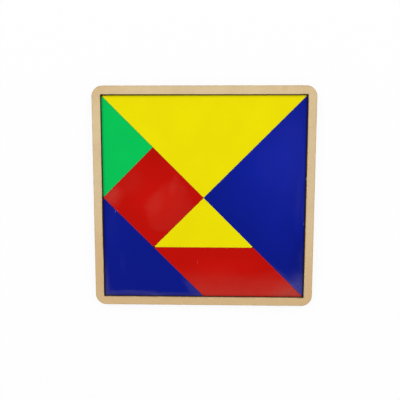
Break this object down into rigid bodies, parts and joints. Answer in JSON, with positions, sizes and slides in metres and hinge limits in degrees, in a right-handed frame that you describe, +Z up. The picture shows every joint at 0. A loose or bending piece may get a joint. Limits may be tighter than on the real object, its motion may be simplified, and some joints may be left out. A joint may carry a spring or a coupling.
{
  "type": "tangram puzzle",
  "caption": "Square tangram puzzle: flat glossy acrylic tiles, cut as triangles, a square and a parallelogram, lying loose in a shallow square tray of bare fibreboard.",
  "frame": {"origin": "the middle of the tray's flat underside, on the surface that the tray lies on", "axes": "+Z up, out of the tray's open face; +X towards the right-hand rail and +Y towards the upper rail, along which the long side of the large yellow triangle lies"},
  "size_m": [0.195, 0.195, 0.0085],
  "materials": {
    "bare_board": "bare sanded fibreboard, laser-cut edges toasted brown",
    "yellow_acrylic": "glossy yellow cast acrylic sheet, laser-cut edges",
    "blue_acrylic": "glossy blue cast acrylic sheet, laser-cut edges",
    "green_acrylic": "glossy green cast acrylic sheet, laser-cut edges",
    "red_acrylic": "glossy red cast acrylic sheet, laser-cut edges"
  },
  "bodies": {
    "root": {"base_panel": "bare_board", "tray_frame": "bare_board", "large_triangle_yellow": "yellow_acrylic", "large_triangle_blue": "blue_acrylic", "medium_triangle_blue": "blue_acrylic", "small_triangle_green": "green_acrylic", "small_triangle_yellow": "yellow_acrylic", "square_red": "red_acrylic", "parallelogram_red": "red_acrylic"}
  },
  "joints": []
}
